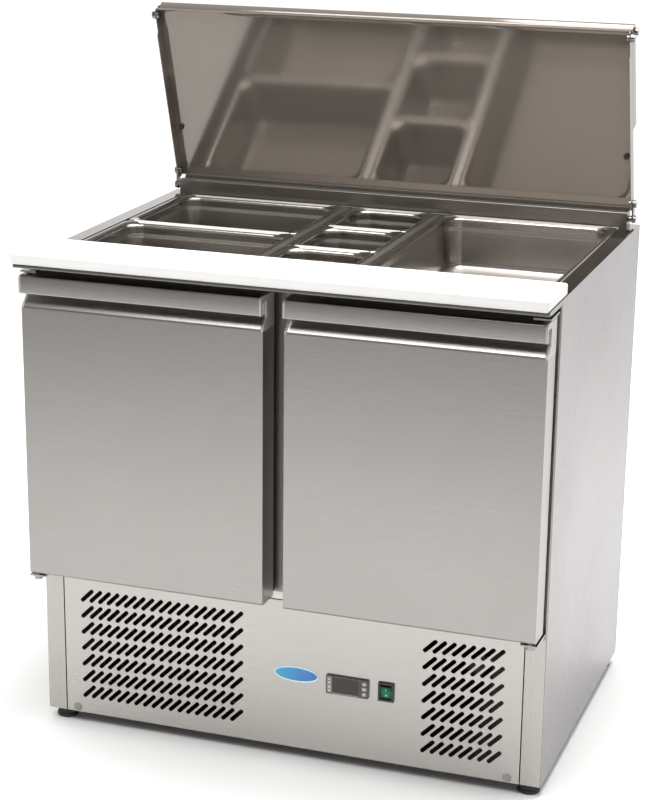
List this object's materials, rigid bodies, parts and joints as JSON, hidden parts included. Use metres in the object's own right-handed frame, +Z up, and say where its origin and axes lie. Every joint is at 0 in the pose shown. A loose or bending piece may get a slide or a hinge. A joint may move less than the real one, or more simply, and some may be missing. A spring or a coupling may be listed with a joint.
{
  "type": "sandwich prep table",
  "caption": "Refrigerated counter with side-by-side hinged doors, a well of lift-out food pans, a cutting board along the front and a folding steel lid",
  "frame": {"origin": "on the floor, under the middle of the object's box with the lid open", "axes": "+X to the right as seen from the front, -Y towards the user, +Z up"},
  "size_m": [0.9, 0.7, 1.2148],
  "materials": {
    "brushed_steel": "satin, vertical grain",
    "lid_steel": "bright rolled, fine grain",
    "pan_steel": "polished",
    "case_steel": "satin",
    "zinc_steel": "galvanised",
    "bright_steel": "polished",
    "board_white": "fine matt",
    "grey_plastic": "satin",
    "black_plastic": "satin",
    "window_plastic": "gloss",
    "green_plastic": "gloss, translucent",
    "badge_blue": "gloss",
    "black_rubber": "matt",
    "insulation": "foam",
    "white_liner": "bright",
    "fin_aluminium": "mill finish",
    "copper": "drawn",
    "black_enamel": "gloss",
    "wire_coated": "bright wire"
  },
  "bodies": {
    "cabinet": {"side_panel_left": "case_steel", "side_panel_right": "case_steel", "back_panel": "zinc_steel", "base_pan": "zinc_steel", "top_frame": "case_steel", "riser_box": "case_steel", "door_frame": "white_liner", "inner_liner": "white_liner", "cabinet_foam": "insulation", "vent_panel": "case_steel", "panel_screw_caps": "grey_plastic", "badge_plate": "badge_blue", "thermostat_housing": "black_plastic", "thermostat_window": "window_plastic", "rocker_frame": "black_plastic", "pan_bars": "white_liner", "hinge_brackets": "bright_steel", "wire_shelves": "wire_coated", "shelf_posts": "white_liner", "evaporator_coil": "fin_aluminium", "evaporator_cover": "white_liner", "condenser_coil": "fin_aluminium", "condenser_cowl": "zinc_steel", "fan_motors": "black_plastic", "compressor": "black_enamel", "compressor_grommets": "black_rubber", "refrigerant_pipes": "copper", "cable_gland": "black_rubber"},
    "lid_links": {"lid_links": "bright_steel"},
    "lid_rear": {"lid_rear_section": "lid_steel", "lid_bumpers": "black_rubber"},
    "fold_links": {"fold_links": "bright_steel"},
    "lid_front": {"lid_front_section": "lid_steel"},
    "board": {"cutting_board": "board_white"},
    "rocker": {"rocker_button": "green_plastic"},
    "evaporator_fan": {"evaporator_fan": "black_plastic"},
    "condenser_fan": {"condenser_fan": "black_plastic"},
    "door_left": {"door_shell_left": "brushed_steel", "door_end_caps_left": "grey_plastic", "door_liner_left": "white_liner", "door_foam_left": "insulation", "door_gasket_left": "black_rubber"},
    "door_right": {"door_shell_right": "brushed_steel", "door_end_caps_right": "grey_plastic", "door_liner_right": "white_liner", "door_foam_right": "insulation", "door_gasket_right": "black_rubber"},
    "pan_half_front": {"pan_half_front": "pan_steel"},
    "pan_half_rear": {"pan_half_rear": "pan_steel"},
    "pan_sixth_front": {"pan_sixth_front": "pan_steel"},
    "pan_sixth_middle": {"pan_sixth_middle": "pan_steel"},
    "pan_sixth_rear": {"pan_sixth_rear": "pan_steel"},
    "pan_full": {"pan_full": "pan_steel"},
    "foot_front_left": {"foot_front_left": "black_rubber"},
    "foot_front_right": {"foot_front_right": "black_rubber"},
    "foot_rear_left": {"foot_rear_left": "black_rubber"},
    "foot_rear_right": {"foot_rear_right": "black_rubber"},
    "key_up": {"key_up": "grey_plastic"},
    "key_set": {"key_set": "grey_plastic"},
    "key_down": {"key_down": "grey_plastic"}
  },
  "joints": [
    {"name": "lid_link_tilt", "type": "hinge", "parent": "cabinet", "child": "lid_links", "pos_m": [0, 0.333, 0.863], "axis": [-1, 0, 0], "range_deg": [-90, 0]},
    {"name": "lid_tilt", "type": "hinge", "parent": "lid_links", "child": "lid_rear", "pos_m": [0, 0.333, 0.89], "axis": [-1, 0, 0], "range_deg": [0, 18]},
    {"name": "fold_link_tilt", "type": "hinge", "parent": "lid_rear", "child": "fold_links", "pos_m": [0, 0.23442, 1.19339], "axis": [-1, 0, 0], "range_deg": [-90, 0]},
    {"name": "lid_front_tilt", "type": "hinge", "parent": "fold_links", "child": "lid_front", "pos_m": [0, 0.2601, 1.20173], "axis": [-1, 0, 0], "range_deg": [-90, 0]},
    {"name": "door_left_swing", "type": "hinge", "parent": "cabinet", "child": "door_left", "pos_m": [-0.436, -0.31, 0.56], "axis": [0, 0, -1], "range_deg": [0, 100], "stiffness_Nm_per_rad": 0.8, "springref_deg": -8.59},
    {"name": "door_right_swing", "type": "hinge", "parent": "cabinet", "child": "door_right", "pos_m": [0.436, -0.31, 0.56], "axis": [0, 0, 1], "range_deg": [0, 100], "stiffness_Nm_per_rad": 0.8, "springref_deg": -8.59},
    {"name": "board_lift", "type": "slide", "parent": "cabinet", "child": "board", "axis": [0, 0, 1], "range_m": [0, 0.04]},
    {"name": "rocker_tip", "type": "hinge", "parent": "cabinet", "child": "rocker", "pos_m": [0.1805, -0.254, 0.15], "axis": [-1, 0, 0], "range_deg": [0, 20]},
    {"name": "evaporator_fan_spin", "type": "hinge", "parent": "cabinet", "child": "evaporator_fan", "pos_m": [0, 0.246, 0.46], "axis": [0, 1, 0], "continuous": true},
    {"name": "condenser_fan_spin", "type": "hinge", "parent": "cabinet", "child": "condenser_fan", "pos_m": [-0.24, -0.142, 0.145], "axis": [0, 1, 0], "continuous": true},
    {"name": "pan_half_front_lift", "type": "slide", "parent": "cabinet", "child": "pan_half_front", "axis": [0, 0, 1], "range_m": [0, 0.112]},
    {"name": "pan_half_rear_lift", "type": "slide", "parent": "cabinet", "child": "pan_half_rear", "axis": [0, 0, 1], "range_m": [0, 0.112]},
    {"name": "pan_sixth_front_lift", "type": "slide", "parent": "cabinet", "child": "pan_sixth_front", "axis": [0, 0, 1], "range_m": [0, 0.112]},
    {"name": "pan_sixth_middle_lift", "type": "slide", "parent": "cabinet", "child": "pan_sixth_middle", "axis": [0, 0, 1], "range_m": [0, 0.112]},
    {"name": "pan_sixth_rear_lift", "type": "slide", "parent": "cabinet", "child": "pan_sixth_rear", "axis": [0, 0, 1], "range_m": [0, 0.112]},
    {"name": "pan_full_lift", "type": "slide", "parent": "cabinet", "child": "pan_full", "axis": [0, 0, 1], "range_m": [0, 0.112]},
    {"name": "foot_front_left_level", "type": "slide", "parent": "cabinet", "child": "foot_front_left", "axis": [0, 0, -1], "range_m": [0, 0.015]},
    {"name": "foot_front_right_level", "type": "slide", "parent": "cabinet", "child": "foot_front_right", "axis": [0, 0, -1], "range_m": [0, 0.015]},
    {"name": "foot_rear_left_level", "type": "slide", "parent": "cabinet", "child": "foot_rear_left", "axis": [0, 0, -1], "range_m": [0, 0.015]},
    {"name": "foot_rear_right_level", "type": "slide", "parent": "cabinet", "child": "foot_rear_right", "axis": [0, 0, -1], "range_m": [0, 0.015]},
    {"name": "key_up_press", "type": "slide", "parent": "cabinet", "child": "key_up", "axis": [0, 1, 0], "range_m": [0, 0.0008], "stiffness_N_per_m": 400, "springref_m": -0.0006},
    {"name": "key_set_press", "type": "slide", "parent": "cabinet", "child": "key_set", "axis": [0, 1, 0], "range_m": [0, 0.0008], "stiffness_N_per_m": 400, "springref_m": -0.0006},
    {"name": "key_down_press", "type": "slide", "parent": "cabinet", "child": "key_down", "axis": [0, 1, 0], "range_m": [0, 0.0008], "stiffness_N_per_m": 400, "springref_m": -0.0006}
  ],
  "couplings": [
    {"joint": "lid_tilt", "follows": "lid_link_tilt", "ratio": -0.2},
    {"joint": "lid_front_tilt", "follows": "fold_link_tilt", "ratio": 1}
  ]
}
